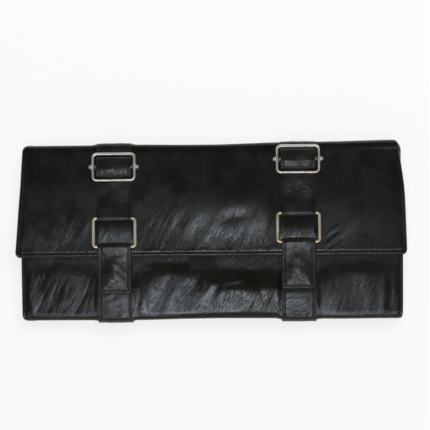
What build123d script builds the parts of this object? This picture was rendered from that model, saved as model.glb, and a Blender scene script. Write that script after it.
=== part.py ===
from build123d import *
import os
from math import sqrt

os.makedirs("parts", exist_ok=True)

# A trifold leather case for hair shears, closed and lying on its back. Millimetres, +Z up.
# +X runs along the case and +Y points at the fold that the flap hangs from.
# The origin is in the middle of the case, on the surface that it lies on.

# The case
case_length = 305.0          # back and front panels, along X
case_depth = 144.0           # over both folds, straps included
top_fold_short = 8.0         # how much shorter the fold strip under the flap is
bottom_fold_short = 5.0      # how much shorter the other fold strip is
flap_fold_short = 7.0        # how much narrower the flap is at its fold
flap_edge_over = 6.0         # how much wider the flap is at its free edge
flap_side_bow = 1.2          # how far the flap's sides swell past a straight line
flap_edge_y = -18.6          # free edge of the flap
front_edge_y = -1.6          # top edge of the front panel, hidden under the flap
corner_round = 3.5           # free corners of the panels, seen from above
fold_round = 5.0             # outside of each fold corner

# Leather and boards
strap_thick = 1.2            # leather of all the straps and tabs
cover_thick = 1.2
board_thick = 1.5
padding_thick = 1.5
lining_thick = 0.7
hem_width = 4.0              # leather turned round a panel's edge
rest_gap = 0.3               # between soft pieces that lie on each other and can part
fold_gap = 0.3               # between the panels at a fold's mitre
fit_gap = 0.1                # round what lies inside a hem or a cup

# Sleeves for the shears, sewn to the linings
sleeve_sheet = 0.6
sleeve_hem = 3.0             # sewn strip along each side
sleeve_lean = 1.6            # how far the side walls lean in
sleeve_height = 6.0          # over the sheet, on the back
front_sleeve_height = 5.6
flap_sleeve_height = 5.5
sleeve_end_inset = 10.5      # from the panel's left end to the sewn end
sleeve_length = 208.0        # from the sewn end to the open one
back_sleeve_count = 3
back_sleeve_gap = 2.0        # between neighbouring sleeves
back_sleeve_margin = 9.0     # from the folds to the outer sleeves, with half a gap
front_sleeve_width = 52.0
front_sleeve_inset = 11.0    # from the fold to the sleeve
flap_sleeve_width = 56.0
flap_sleeve_inset = 9.0

# Straps, one set on the left and one on the right
strap_play = 2.9             # the slider's opening is this much wider than the strap
tab_play = 4.5               # the same for the ring and the tab
set_x = {"left": -77.2, "right": 69.8}
set_y = {"left": 0.4, "right": 3.3}             # middle of the ring
slider_inset = {"left": 19.3, "right": 14.4}    # middle of the slider, in from the fold
closing_strap_top_y = -19.6  # end of the closing strap
layer_gap = 0.1              # between strap layers that touch

# Wire hardware
wire_dia = 2.25
pin_gap = 0.08               # leather or crimp round a wire
slider_size = (35.0, 23.0)   # outside, along X and Y
slider_bend = 2.9            # wire centreline at the corners
slider_bar_dia = 1.8
crimp_length = 4.2
crimp_wall = 0.6
crimp_nib = 1.6              # how far the crimp's end stands out of the frame
crimp_nib_width = 2.4
wire_seam = 0.3              # open joint where the wire's ends meet
ring_size = (35.5, 25.0)
ring_bend = 2.4

# Tabs and magnetic snaps
tab_reach = 48.5             # from the ring's centre to the tab's end
tab_corner = 3.0
tab_bore_tail = 5.0          # the leather's two layers close this far from the bar
snap_reach = 37.6            # from the ring's centre to the snap's centre
snap_dia = 16.0
snap_plate_thick = 0.9
snap_gap = 0.2               # between the closed snap's two halves
snap_skin = 0.3
stud_dia = 5.2
stud_tip_dia = 4.2
stud_hole_dia = 7.0

# Woven tag under the flap's hem
tag_width = 22.0
tag_drop = 10.4
tag_tuck = 3.0               # sewn into the hem
tag_thick = 0.5
tag_x = -6.8

# Levels and places worked out from the sizes
half_depth = case_depth / 2
top_fold_length = case_length - top_fold_short
bottom_fold_length = case_length - bottom_fold_short
flap_width_fold = case_length - flap_fold_short
flap_width_edge = case_length + flap_edge_over
sleeve_closed_x = sleeve_end_inset - case_length / 2
sleeve_mouth_x = sleeve_closed_x + sleeve_length
back_sleeve_pitch = (case_depth - 2 * back_sleeve_margin) / back_sleeve_count
back_sleeve_width = back_sleeve_pitch - back_sleeve_gap
front_sleeve_y = front_sleeve_inset + front_sleeve_width / 2 - half_depth
flap_sleeve_y = half_depth - flap_sleeve_inset - flap_sleeve_width / 2
strap_width = slider_size[0] - 2 * wire_dia - strap_play
tab_width = ring_size[0] - 2 * wire_dia - tab_play
wire_r = wire_dia / 2
back_stack = strap_thick + cover_thick + board_thick + lining_thick
front_height = back_stack + sleeve_height + rest_gap + front_sleeve_height + back_stack
flap_bottom = front_height - strap_thick + rest_gap
flap_top = flap_bottom + lining_thick + padding_thick + cover_thick
case_height = flap_top + rest_gap + strap_thick
mitre_gap = fold_gap / sqrt(2)
hinge_inset = fold_round * (1 - 1 / sqrt(2))
strap_low_z = case_height - strap_thick / 2
strap_high_z = strap_low_z + strap_thick + layer_gap
ring_z = strap_low_z + strap_thick / 2 + pin_gap + wire_r
slider_z = strap_high_z + strap_thick / 2 + pin_gap + wire_r
tab_bottom = ring_z - wire_r - pin_gap - strap_thick
hinges = {
    "top_fold": (half_depth - hinge_inset, hinge_inset),
    "flap": (half_depth - hinge_inset, case_height - hinge_inset),
    "bottom_fold": (hinge_inset - half_depth, hinge_inset),
    "front": (hinge_inset - half_depth, front_height - hinge_inset),
}


def save(part, node):
    export_step(part, f"parts/{node}.step")


def across(profile, width, x=0.0):
    """Extrude a profile drawn in (y, z) to a width along X, centred on x."""
    return extrude(Plane.YZ.offset(x) * profile, width / 2, both=True)


def band(height, outer, inner):
    """One layer of a closed wrap of the given height, between two depths below its outer face."""
    faces = []
    for depth in (outer, inner):
        size = (2 * (half_depth - depth), height - 2 * depth)
        faces.append(Pos(0, height / 2) * RectangleRounded(*size, fold_round - depth))
    return faces[0] - faces[1]


def back_region():
    reach, inside = half_depth - mitre_gap, case_height / 2
    return Polygon((-reach, 0), (reach, 0), (reach - inside, inside), (inside - reach, inside), align=None)


def fold_region(side, height):
    inside = height / 2 - mitre_gap
    outer, inner = side * half_depth, side * (half_depth - inside)
    points = [(outer, mitre_gap), (outer, height - mitre_gap), (inner, height / 2)]
    return make_face(Polyline(*points, close=True))


def lid_region(side, height, edge_y):
    """The panel that closes a wrap, from its mitre to its free edge."""
    inside, reach = height / 2, side * (half_depth - mitre_gap)
    inner = side * (half_depth - mitre_gap - inside)
    points = [(reach, height), (edge_y, height), (edge_y, height - inside), (inner, height - inside)]
    return make_face(Polyline(*points, close=True))


def layer(height, outer, inner, region, width, x=0.0):
    return across(band(height, outer, inner) & region, width, x)


def prism(outline):
    return extrude(outline, case_height)


def hemmed_panel(height, outer, depths, region, width, outline):
    """A cover whose edges turn round the layers inside it, and those layers."""
    inset = prism(offset(outline, -hem_width, kind=Kind.INTERSECTION))
    inside = prism(offset(outline, -hem_width - fit_gap, kind=Kind.INTERSECTION))
    skin = outer + cover_thick
    cover = layer(height, outer, skin + sum(depths), region, width) & prism(outline)
    cover -= layer(height, skin, skin + sum(depths), region, width) & inset
    pieces = [cover]
    for thick in depths:
        pieces.append(layer(height, skin, skin + thick, region, width) & inside)
        skin += thick
    return pieces


def sleeve(middle_y, width, height, lining_z, up):
    """A leather sheet arched over a lining, sewn down at its sides and at one end."""
    base, foot = width / 2 - sleeve_hem, lining_z
    top, under = foot + up * height, foot + up * (height - sleeve_sheet)
    hem_top = foot + up * sleeve_sheet
    crown = base - sleeve_lean
    arch = Polygon((-base, foot), (base, foot), (crown, top), (-crown, top), align=None)
    room_base, room_crown = base - sleeve_sheet, crown - sleeve_sheet
    room_corners = [(-room_base, foot), (room_base, foot), (room_crown, under), (-room_crown, under)]
    room = Polygon(*room_corners, align=None)
    hem_corners = [(-width / 2, foot), (width / 2, foot), (width / 2, hem_top), (-width / 2, hem_top)]
    hems = Polygon(*hem_corners, align=None)
    place = Pos(middle_y, 0)
    length = sleeve_mouth_x - sleeve_closed_x
    middle_x = (sleeve_mouth_x + sleeve_closed_x) / 2
    sheet = across(place * (arch + hems - room), length, middle_x)
    return sheet + across(place * (arch + hems), sleeve_sheet, sleeve_closed_x + sleeve_sheet / 2)


def back_outline():
    return Rectangle(case_length, 2 * case_depth)


def front_outline():
    low, high = -2 * half_depth, front_edge_y
    sheet = Pos(0, (low + high) / 2) * Rectangle(case_length, high - low)
    return fillet(sheet.vertices().group_by(Axis.Y)[-1], corner_round)


def flap_outline():
    fold_x, edge_x = flap_width_fold / 2, flap_width_edge / 2
    middle = ((fold_x + edge_x) / 2 + flap_side_bow, (half_depth + flap_edge_y) / 2)
    right = ThreePointArc((fold_x, half_depth), middle, (edge_x, flap_edge_y))
    left = mirror(right, Plane.YZ)
    top = Line((-fold_x, half_depth), (fold_x, half_depth))
    edge = Line((-edge_x, flap_edge_y), (edge_x, flap_edge_y))
    sheet = make_face(Curve([right, left, top, edge]))
    return fillet(sheet.vertices().group_by(Axis.Y)[0], corner_round)


def make_back():
    width = case_length
    depths = (board_thick, lining_thick)
    panel = hemmed_panel(case_height, strap_thick, depths, back_region(), width, back_outline())
    for node, piece in zip(("back_cover", "back_board", "back_lining"), panel):
        save(piece, node)
    for number in range(back_sleeve_count):
        middle_y = (number - (back_sleeve_count - 1) / 2) * back_sleeve_pitch
        save(sleeve(middle_y, back_sleeve_width, sleeve_height, back_stack, 1), f"back_sleeve_{number + 1}")
    for side, x in set_x.items():
        save(layer(case_height, 0, strap_thick, back_region(), strap_width, x), f"back_strap_{side}")


def make_folds():
    skin = strap_thick + cover_thick
    for name, side, height, length in (
        ("top", 1, case_height, top_fold_length),
        ("bottom", -1, front_height, bottom_fold_length),
    ):
        region = fold_region(side, height)
        save(layer(height, strap_thick, skin, region, length), f"{name}_fold_cover")
        save(layer(height, skin, skin + lining_thick, region, length - 2 * hem_width), f"{name}_fold_lining")
        for strap_side, x in set_x.items():
            save(layer(height, 0, strap_thick, region, strap_width, x), f"{name}_strap_{strap_side}")


def make_front():
    region = lid_region(-1, front_height, front_edge_y)
    depths = (board_thick, lining_thick)
    panel = hemmed_panel(front_height, strap_thick, depths, region, case_length, front_outline())
    for node, piece in zip(("front_cover", "front_board", "front_lining"), panel):
        save(piece, node)
    lining_z = front_height - back_stack
    save(sleeve(front_sleeve_y, front_sleeve_width, front_sleeve_height, lining_z, -1), "front_sleeve")
    for side, x in set_x.items():
        region = lid_region(-1, front_height, closing_strap_top_y)
        save(layer(front_height, 0, strap_thick, region, strap_width, x), f"closing_strap_{side}")
        place = Pos(x, set_y[side] - snap_reach, front_height)
        socket, magnet = snap_socket()
        save(place * socket, f"snap_socket_{side}")
        save(place * magnet, f"snap_magnet_{side}")


def tag_blank(grow=0.0):
    low, high = flap_edge_y - tag_drop, flap_edge_y + tag_tuck + grow
    place = Pos(tag_x, (low + high) / 2, flap_bottom + tag_thick / 2)
    return place * Box(tag_width + 2 * grow, high - low, tag_thick)


def make_flap():
    region = lid_region(1, case_height, flap_edge_y)
    depths = (padding_thick, lining_thick)
    outer = strap_thick + rest_gap
    panel = hemmed_panel(case_height, outer, depths, region, flap_width_edge, flap_outline())
    panel[0] -= tag_blank(fit_gap)
    for node, piece in zip(("flap_cover", "flap_padding", "flap_lining"), panel):
        save(piece, node)
    save(sleeve(flap_sleeve_y, flap_sleeve_width, flap_sleeve_height, flap_bottom, -1), "flap_sleeve")
    save(tag_blank(), "woven_tag")


def bent_wire(size, bend, seam_side):
    """A rectangle of round wire whose ends meet in the middle of one long side."""
    across_x, along_y = size[0] / 2 - wire_r, size[1] / 2 - wire_r
    half_seam, top, bottom = wire_seam / 2, seam_side * along_y, -seam_side * along_y
    path = FilletPolyline(
        (-half_seam, top), (-across_x, top), (-across_x, bottom),
        (across_x, bottom), (across_x, top), (half_seam, top),
        radius=bend,
    )
    return sweep(Plane((-half_seam, top, 0), z_dir=(-1, 0, 0)) * Circle(wire_r), path=path)


def slider_bar():
    """The centre bar, its ends rolled round the sides of the frame and squeezed to a nib."""
    side_x = slider_size[0] / 2 - wire_r
    bore_r = wire_r + pin_gap
    bar = Plane.YZ.offset(-side_x + bore_r) * Circle(slider_bar_dia / 2)
    bar = extrude(bar, 2 * (side_x - bore_r))
    for side in (-1, 1):
        roll = Circle(bore_r + crimp_wall) - Circle(bore_r)
        crimp = extrude(Plane.XZ * Pos(side * side_x, 0) * roll, crimp_length / 2, both=True)
        nib_start = bore_r + crimp_wall / 2
        nib_size = (crimp_wall / 2 + crimp_nib, crimp_nib_width, slider_bar_dia)
        nib_x = side * (side_x + nib_start + nib_size[0] / 2)
        bar += crimp + Pos(nib_x, 0, 0) * fillet(Box(*nib_size).edges().filter_by(Axis.Z), crimp_wall / 2)
        stub_face = Plane.YZ.offset(side * (side_x - nib_start)) * Circle(slider_bar_dia / 2)
        stub = extrude(stub_face, -side * crimp_wall)
        bar += stub
    return bar


def strap_path(ring_y, slider_y):
    """The strap's middle line: over the fold, through the slider, round the ring and back to the bar."""
    half = strap_thick / 2
    bar_y = ring_y + ring_size[1] / 2 - wire_r
    loop = wire_r + pin_gap + half
    wrap = slider_bar_dia / 2 + pin_gap + half
    hump_z = slider_z + wrap + strap_thick + layer_gap
    side_y = slider_size[1] / 2 - wire_r
    foot = side_y - wire_r - strap_thick
    crest = wrap + strap_thick
    fold_start = half_depth - fold_round
    corner = CenterArc((fold_start, case_height - fold_round), fold_round - half, 45, 45)
    corner = corner.trim(fold_gap / 2 / corner.length, 1)
    tight = 0.97
    bends = [
        (slider_y + foot, strap_low_z, 1.5 * strap_thick),
        (slider_y + crest, hump_z, 2 * strap_thick),
        (slider_y - crest, hump_z, 2 * strap_thick),
        (slider_y - foot, strap_high_z, 2 * strap_thick),
        (bar_y + loop + 4 * strap_thick, strap_high_z, 4 * strap_thick),
        (bar_y + strap_thick, ring_z + loop, 2 * strap_thick),
        (bar_y - loop, ring_z + loop, tight * loop),
        (bar_y - loop, ring_z - loop, tight * loop),
        (slider_y - foot + strap_thick / 2, strap_low_z, 2 * strap_thick),
        (slider_y - wrap - strap_thick, slider_z - wrap, 2 * strap_thick),
        (slider_y + wrap, slider_z - wrap, tight * wrap),
        (slider_y + wrap, slider_z + wrap, tight * wrap),
    ]
    points = [(fold_start, strap_low_z)] + [(y, z) for y, z, _ in bends]
    points.append((slider_y - strap_thick, slider_z + wrap))
    return corner, FilletPolyline(*points, radius=[bend for _, _, bend in bends])


def make_strap_set(side, x):
    ring_y = set_y[side]
    slider_y = half_depth - slider_inset[side]
    corner, run = strap_path(ring_y, slider_y)
    line = Wire([corner.edge()] + list(run.edges()))
    save(across(trace(line, strap_thick), strap_width, x), f"upper_strap_{side}")
    seam_side = 1 if side == "left" else -1
    place = Pos(x, slider_y, slider_z)
    save(place * bent_wire(slider_size, slider_bend, seam_side), f"slider_frame_{side}")
    save(place * slider_bar(), f"slider_bar_{side}")
    save(Pos(x, ring_y, ring_z) * bent_wire(ring_size, ring_bend, -1), f"ring_{side}")
    save(tab(x, ring_y), f"tab_{side}")
    save(Pos(x, ring_y - snap_reach, tab_bottom) * snap_stud(), f"snap_stud_{side}")


def tab(x, ring_y):
    """Leather folded round the ring's lower bar, its two layers sewn together past the bar."""
    bar_y = ring_y - ring_size[1] / 2 + wire_r
    end_y = ring_y - tab_reach
    bore = wire_r + pin_gap
    roll = bore + strap_thick
    top = tab_bottom + 2 * strap_thick
    closed_y = bar_y - tab_bore_tail
    shoulder = Polygon((bar_y, ring_z + roll), (bar_y, tab_bottom), (closed_y, top), align=None)
    sheet = Polygon((bar_y, tab_bottom), (end_y, tab_bottom), (end_y, top), (bar_y, top), align=None)
    throat = Polygon((bar_y, ring_z + bore), (bar_y, ring_z - bore), (closed_y, ring_z - bore), align=None)
    profile = Pos(bar_y, ring_z) * Circle(roll) + shoulder + sheet
    profile = profile - Pos(bar_y, ring_z) * Circle(bore) - throat
    leather = across(profile, tab_width, x)
    corners = leather.edges().filter_by(Axis.Z).group_by(Axis.Y)[0]
    return fillet(corners, tab_corner)


def snap_stud():
    """A plate pressed flat under the tab, with a tapered stud that drops into the socket."""
    drop = tab_bottom - front_height - snap_plate_thick - snap_skin - snap_gap
    plate = Pos(0, 0, -snap_plate_thick / 2) * Cylinder(snap_dia / 2, snap_plate_thick)
    stud_cone = Cone(stud_dia / 2, stud_tip_dia / 2, drop)
    stud = Pos(0, 0, -snap_plate_thick - drop / 2) * Rotation(180, 0, 0) * stud_cone
    return plate + stud


def snap_socket():
    """A nickel cap on the closing strap, round a magnet ring with a hole for the stud."""
    height = tab_bottom - front_height - snap_plate_thick - snap_gap
    outer, hole = snap_dia / 2, stud_hole_dia / 2
    cap = Cylinder(outer, height) - Cylinder(outer - snap_skin, height) + Cylinder(hole + snap_skin, height)
    cap = Pos(0, 0, height / 2) * cap + Pos(0, 0, height - snap_skin / 2) * Cylinder(outer, snap_skin)
    cap -= Pos(0, 0, height / 2) * Cylinder(hole, height)
    magnet_height = height - snap_skin - fit_gap
    magnet = Cylinder(outer - snap_skin - fit_gap, magnet_height)
    magnet = magnet - Cylinder(hole + snap_skin + fit_gap, magnet_height)
    return cap, Pos(0, 0, magnet_height / 2) * magnet


make_back()
make_folds()
make_front()
make_flap()
for strap_side, strap_x in set_x.items():
    make_strap_set(strap_side, strap_x)
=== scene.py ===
import math

import bmesh
import bpy
import numpy as np
from mathutils import Matrix, Vector, noise


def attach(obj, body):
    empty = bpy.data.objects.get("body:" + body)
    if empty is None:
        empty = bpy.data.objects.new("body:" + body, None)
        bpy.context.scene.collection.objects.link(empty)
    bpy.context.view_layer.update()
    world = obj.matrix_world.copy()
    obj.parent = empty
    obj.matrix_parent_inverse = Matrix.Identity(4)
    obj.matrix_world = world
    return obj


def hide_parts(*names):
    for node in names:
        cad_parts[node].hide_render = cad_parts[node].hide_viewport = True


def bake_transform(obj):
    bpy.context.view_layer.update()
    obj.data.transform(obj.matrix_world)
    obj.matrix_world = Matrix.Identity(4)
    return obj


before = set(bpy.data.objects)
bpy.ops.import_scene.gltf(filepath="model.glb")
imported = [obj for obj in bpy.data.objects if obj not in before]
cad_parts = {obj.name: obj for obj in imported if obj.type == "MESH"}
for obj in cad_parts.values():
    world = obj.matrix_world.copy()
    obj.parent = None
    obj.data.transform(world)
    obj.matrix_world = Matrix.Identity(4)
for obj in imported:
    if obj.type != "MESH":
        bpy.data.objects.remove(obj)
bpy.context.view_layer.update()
scene = bpy.context.scene


# Camera
# It looks down on the closed case from above, turned and tilted by a degree or two.
camera_data = bpy.data.cameras.new("camera")
camera_data.lens = 124.95
camera_data.sensor_width = 36.0
camera = bpy.data.objects.new("camera", camera_data)
camera_turn = (
    Matrix.Rotation(0.033459, 4, "Y") @ Matrix.Rotation(0.020261, 4, "X") @ Matrix.Rotation(-0.009233, 4, "Z")
)
camera.matrix_world = Matrix.Translation((0.043157, -0.010497, 1.21408)) @ camera_turn
scene.collection.objects.link(camera)
scene.camera = camera


# Floor, world and lamps
# A white sweep under the case, in a room that is white near the ground, warm on the near side and
# dim overhead. A small cool window on the near side gives the highlights, and soft lamps fill in.
class Shade:
    """One value in a tree of shader nodes. Sums and products of such values add Math nodes."""

    def __init__(self, tree, socket=None):
        self.tree = tree
        self.socket = socket

    def node(self, kind, settings, values, output=0):
        """An output of a new node. Its kind is named without the ShaderNode that all have in front."""
        made = self.tree.nodes.new("ShaderNode" + kind)
        for name, setting in settings.items():
            setattr(made, name, setting)
        for name, value in values.items():
            if isinstance(value, Shade):
                self.tree.links.new(value.socket, made.inputs[name])
            else:
                made.inputs[name].default_value = value
        return Shade(self.tree, made.outputs[output])

    def maths(self, operation, *values):
        return self.node("Math", {"operation": operation}, dict(enumerate(values)))

    def __add__(self, other):
        return self.maths("ADD", self, other)

    def __sub__(self, other):
        return self.maths("SUBTRACT", self, other)

    def __rsub__(self, other):
        return self.maths("SUBTRACT", other, self)

    def __mul__(self, other):
        return self.maths("MULTIPLY", self, other)

    __radd__ = __add__
    __rmul__ = __mul__

    def clamped(self, low, high):
        """0 where the value is low or less, 1 where it is high or more."""
        limits = {"Value": self, "From Min": low, "From Max": high}
        return self.node("MapRange", {"interpolation_type": "SMOOTHSTEP"}, limits)

    def mixed(self, low, high):
        """The colour `low` where the value is 0, and `high` where it is 1."""
        return self.node("Mix", {"data_type": "RGBA"}, {0: self, 6: low, 7: high}, 2)

    def noise_at(self, place, scale, detail=2.0, roughness=0.5, distortion=0.0):
        values = {"Vector": place, "Scale": scale, "Detail": detail, "Roughness": roughness}
        return self.node("TexNoise", {}, {**values, "Distortion": distortion})

    def coordinates(self, kind):
        return self.node("TexCoord", {}, {}, kind)

    def part(self, axis):
        return self.node("SeparateXYZ", {}, {"Vector": self}, axis)

    def bump(self, strength, distance):
        """The shading normal of a surface with these heights."""
        return self.node("Bump", {}, {"Height": self, "Strength": strength, "Distance": distance})

    def into(self, shader, name):
        """Links the value to an input of a shader."""
        self.tree.links.new(self.socket, shader.inputs[name])


def way_in(tree, *kinds):
    """1 where the ray is of one of these kinds, and 0 elsewhere."""
    ray = tree.nodes.new("ShaderNodeLightPath")
    value, *others = [Shade(tree, ray.outputs[kind]) for kind in kinds]
    for other in others:
        value = value.maths("MAXIMUM", value, other)
    return value


def new_finish(name):
    """A material with a tree of shader nodes, a value to start from in that tree, and its main shader."""
    made = bpy.data.materials.new(name)
    made.use_nodes = True
    return made, Shade(made.node_tree), made.node_tree.nodes["Principled BSDF"]


scene.view_settings.view_transform = "Standard"
world = bpy.data.worlds.new("room")
world.use_nodes = True
scene.world = world
room = Shade(world.node_tree)
sky = room.coordinates("Generated")
height = sky.part("Z")
far_side = sky.part("Y").clamped(-0.45, 0.35)
walls = far_side.mixed((0.66, 0.60, 0.47, 1.0), (0.16, 0.145, 0.11, 1.0))
overhead = height.clamped(0.35, 0.95).mixed(walls, (0.036, 0.033, 0.025, 1.0))
room_colour = height.clamped(0.06, 0.32).mixed((1.0, 1.0, 1.0, 1.0), overhead)
room_seen = way_in(world.node_tree, "Is Camera Ray", "Is Glossy Ray", "Is Transmission Ray")
room_light = world.node_tree.nodes["Background"]
room_colour.into(room_light, "Color")
(room_seen * 0.1 + 0.9).into(room_light, "Strength")

bpy.ops.object.select_all(action="DESELECT")
bpy.ops.mesh.primitive_plane_add(size=6.0)
floor = bpy.context.object
floor.name = "floor"
floor_finish, sweep, _ = new_finish("floor_white")
floor_seen = way_in(floor_finish.node_tree, "Is Camera Ray", "Is Glossy Ray")
paper = sweep.node("BsdfDiffuse", {}, {"Color": (0.86, 0.86, 0.86, 1.0)})
glow = sweep.node("Emission", {}, {"Color": (1.0, 1.0, 1.0, 1.0), "Strength": 1.0})
swept = sweep.node("MixShader", {}, {0: floor_seen * 0.76, 1: paper, 2: glow})
swept.into(floor_finish.node_tree.nodes["Material Output"], "Surface")
floor.data.materials.append(floor_finish)

lamps = {
    # place, size, power, colour, seen in reflections
    "window_light": ((-0.02, -0.43, 1.36), (0.34, 0.36), 4.6, (0.82, 0.91, 1.0), True),
    "side_light": ((-0.9, -0.9, 0.5), (0.7, 0.5), 1.4, (1.0, 0.95, 0.88), True),
    "fill_light": ((0.3, 0.7, 1.5), (1.2, 1.2), 22.0, (1.0, 0.97, 0.92), False),
}
for name, (place, size, power, colour, seen) in lamps.items():
    lamp_data = bpy.data.lights.new(name, "AREA")
    lamp_data.shape = "RECTANGLE"
    lamp_data.size, lamp_data.size_y = size
    lamp_data.energy = power
    lamp_data.color = colour
    lamp = bpy.data.objects.new(name, lamp_data)
    lamp.location = place
    lamp.rotation_euler = (-Vector(place)).to_track_quat("-Z", "Y").to_euler()
    lamp.visible_glossy = seen
    scene.collection.objects.link(lamp)


# Outer leather
# One hide of black cow leather runs from the flap, over the top fold, under the case, over the bottom
# fold and up the front. Its edges are turned round the boards and sewn. Here it is cut at the middle
# of the back and of each fold strip, so that each length takes in one fold.
def rounded_line(first, *corners):
    """A line from (y, z) through corners (y, z, radius) to (y, z).

    It is given as lengths along it, and the y and z of its points and of their right-hand normals."""
    rounds = [corner[2] for corner in corners[:-1]]
    corners = [np.array(corner[:2], float) for corner in (first, *corners)]
    points = [corners[0]]
    for before, corner, after, radius in zip(corners, corners[1:], corners[2:], rounds):
        into = (corner - before) / np.linalg.norm(corner - before)
        out = (after - corner) / np.linalg.norm(after - corner)
        angle = math.atan2(into[0] * out[1] - into[1] * out[0], into @ out)
        start = corner - into * radius * math.tan(abs(angle) / 2)
        centre = start + math.copysign(radius, angle) * np.array((-into[1], into[0]))
        spoke = start - centre
        for turned in np.linspace(0, angle, 25):
            c, s = math.cos(turned), math.sin(turned)
            points.append(centre + np.array((c * spoke[0] - s * spoke[1], s * spoke[0] + c * spoke[1])))
    points.append(corners[-1])
    points = np.array(points)
    lengths = np.concatenate(([0.0], np.cumsum(np.linalg.norm(np.diff(points, axis=0), axis=1))))
    even = np.linspace(0, lengths[-1], max(int(lengths[-1] / 0.15), 8))
    y, z = (np.interp(even, lengths, points[:, axis]) for axis in (0, 1))
    along_y, along_z = np.gradient(y, even), np.gradient(z, even)
    steep = np.hypot(along_y, along_z)
    return even, y, z, along_z / steep, -along_y / steep


def on_line(line, s, rise=0.0):
    """The (y, z) of a point s along a line and `rise` out from it."""
    even, y, z, out_y, out_z = line
    normal_y, normal_z = np.interp(s, even, out_y), np.interp(s, even, out_z)
    size = np.hypot(normal_y, normal_z)
    return np.interp(s, even, y) + rise * normal_y / size, np.interp(s, even, z) + rise * normal_z / size


def steps_along(line, start, stop, longest, turn):
    """Places along a line: no more than `longest` mm and `turn` degrees from one to the next."""
    even, y, z, out_y, out_z = line
    angle = np.unwrap(np.arctan2(out_z, out_y))
    pace = np.diff(even) / longest + np.abs(np.diff(angle)) / math.radians(turn)
    count = np.concatenate(([0.0], np.cumsum(pace)))
    first, last = np.interp([start, stop], even, count)
    return np.interp(np.linspace(first, last, int(last - first) + 2), count, even)


def grid(name, across, along):
    """A flat grid with a column at each value of `across` and a row at each of `along`."""
    bpy.ops.object.select_all(action="DESELECT")
    bpy.ops.mesh.primitive_grid_add(x_subdivisions=len(across) - 1, y_subdivisions=len(along) - 1, size=1)
    piece = bpy.context.object
    piece.name = piece.data.name = name
    spots = np.zeros(len(piece.data.vertices) * 3)
    piece.data.vertices.foreach_get("co", spots)
    columns = np.rint((spots[0::3] + 0.5) * (len(across) - 1)).astype(int)
    rows = np.rint((spots[1::3] + 0.5) * (len(along) - 1)).astype(int)
    return piece, np.array(across)[columns], np.array(along)[rows]


def shape(piece, x, y, z, u=None, v=None):
    """Puts the piece's points at x, y, z in millimetres, and its UV map at u, v in millimetres."""
    spots = np.column_stack((x, y, z)) / 1000
    piece.data.vertices.foreach_set("co", spots.ravel())
    if u is not None:
        corner_points = np.zeros(len(piece.data.loops), int)
        piece.data.loops.foreach_get("vertex_index", corner_points)
        corner_uv = np.column_stack((u, v))[corner_points] / 1000
        piece.data.uv_layers[0].data.foreach_set("uv", corner_uv.ravel())
    piece.data.update()


def select_only(piece):
    bpy.ops.object.select_all(action="DESELECT")
    piece.select_set(True)
    bpy.context.view_layer.objects.active = piece


def turn_outwards(piece, fill=False):
    """Merges points that meet and turns all faces outwards. With `fill` it closes the piece's ends first."""
    select_only(piece)
    bpy.ops.object.mode_set(mode="EDIT")
    bpy.ops.mesh.select_all(action="SELECT")
    bpy.ops.mesh.remove_doubles(threshold=1e-6)
    if fill:
        bpy.ops.mesh.fill_holes(sides=0)
    bpy.ops.mesh.normals_make_consistent(inside=False)
    bpy.ops.object.mode_set(mode="OBJECT")


def thicken(piece, thickness, offset):
    """Makes a closed piece of a sheet, `thickness` mm thick: inwards at -1, to both sides at 0."""
    select_only(piece)
    modifier = piece.modifiers.new("solidify", "SOLIDIFY")
    modifier.thickness, modifier.offset = thickness / 1000, offset
    bpy.ops.object.modifier_apply(modifier=modifier.name)
    turn_outwards(piece)


def dress(piece, finish, angle=38):
    """Smooths a piece but for edges sharper than an angle, and gives it its finish."""
    select_only(piece)
    bpy.ops.object.shade_smooth_by_angle(angle=math.radians(angle))
    piece.data.materials.append(finish)


def ripple(x, s, angle, long, wide, seed):
    """Creases about `wide` mm apart that run at an angle, from -1 to 1."""
    c, t = math.cos(math.radians(angle)), math.sin(math.radians(angle))
    u, v = (x * c + s * t) / long, (s * c - x * t) / wide
    return np.array([noise.noise(Vector((a, b, seed))) for a, b in zip(u, v)])


def bump_at(value, middle, width):
    """1 at a middle value, falling softly to 0 on both sides."""
    return np.exp(-(((value - middle) / width) ** 2))


def ease(value, low, high):
    """0 where the value is low or less, 1 where it is high or more, with no corner between."""
    share = np.clip((value - low) / (high - low), 0, 1)
    return share * share * (3 - 2 * share)


# Sizes in millimetres: the strap sets and their rings, the case over its leather, how a side is turned
# under, and how thick the turned side is on a panel and on a fold strip.
set_x = {"left": -77.2, "right": 69.8}
strap_ring_y = {"left": 0.4, "right": 3.3}
case_half, fold_y, cover_round = 152.5, 70.8, 3.8
case_low, case_top, front_top = 1.2, 23.6, 19.9
flap_edge, front_edge = -18.6, -1.6
edge_round, roll, turned_edge = 3.5, 1.15, 3.4
panel_depth, strip_depth = 3.4, 1.9
leather, hide_seam = 0.9, 2.6
strap_swell = 1.6


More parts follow.
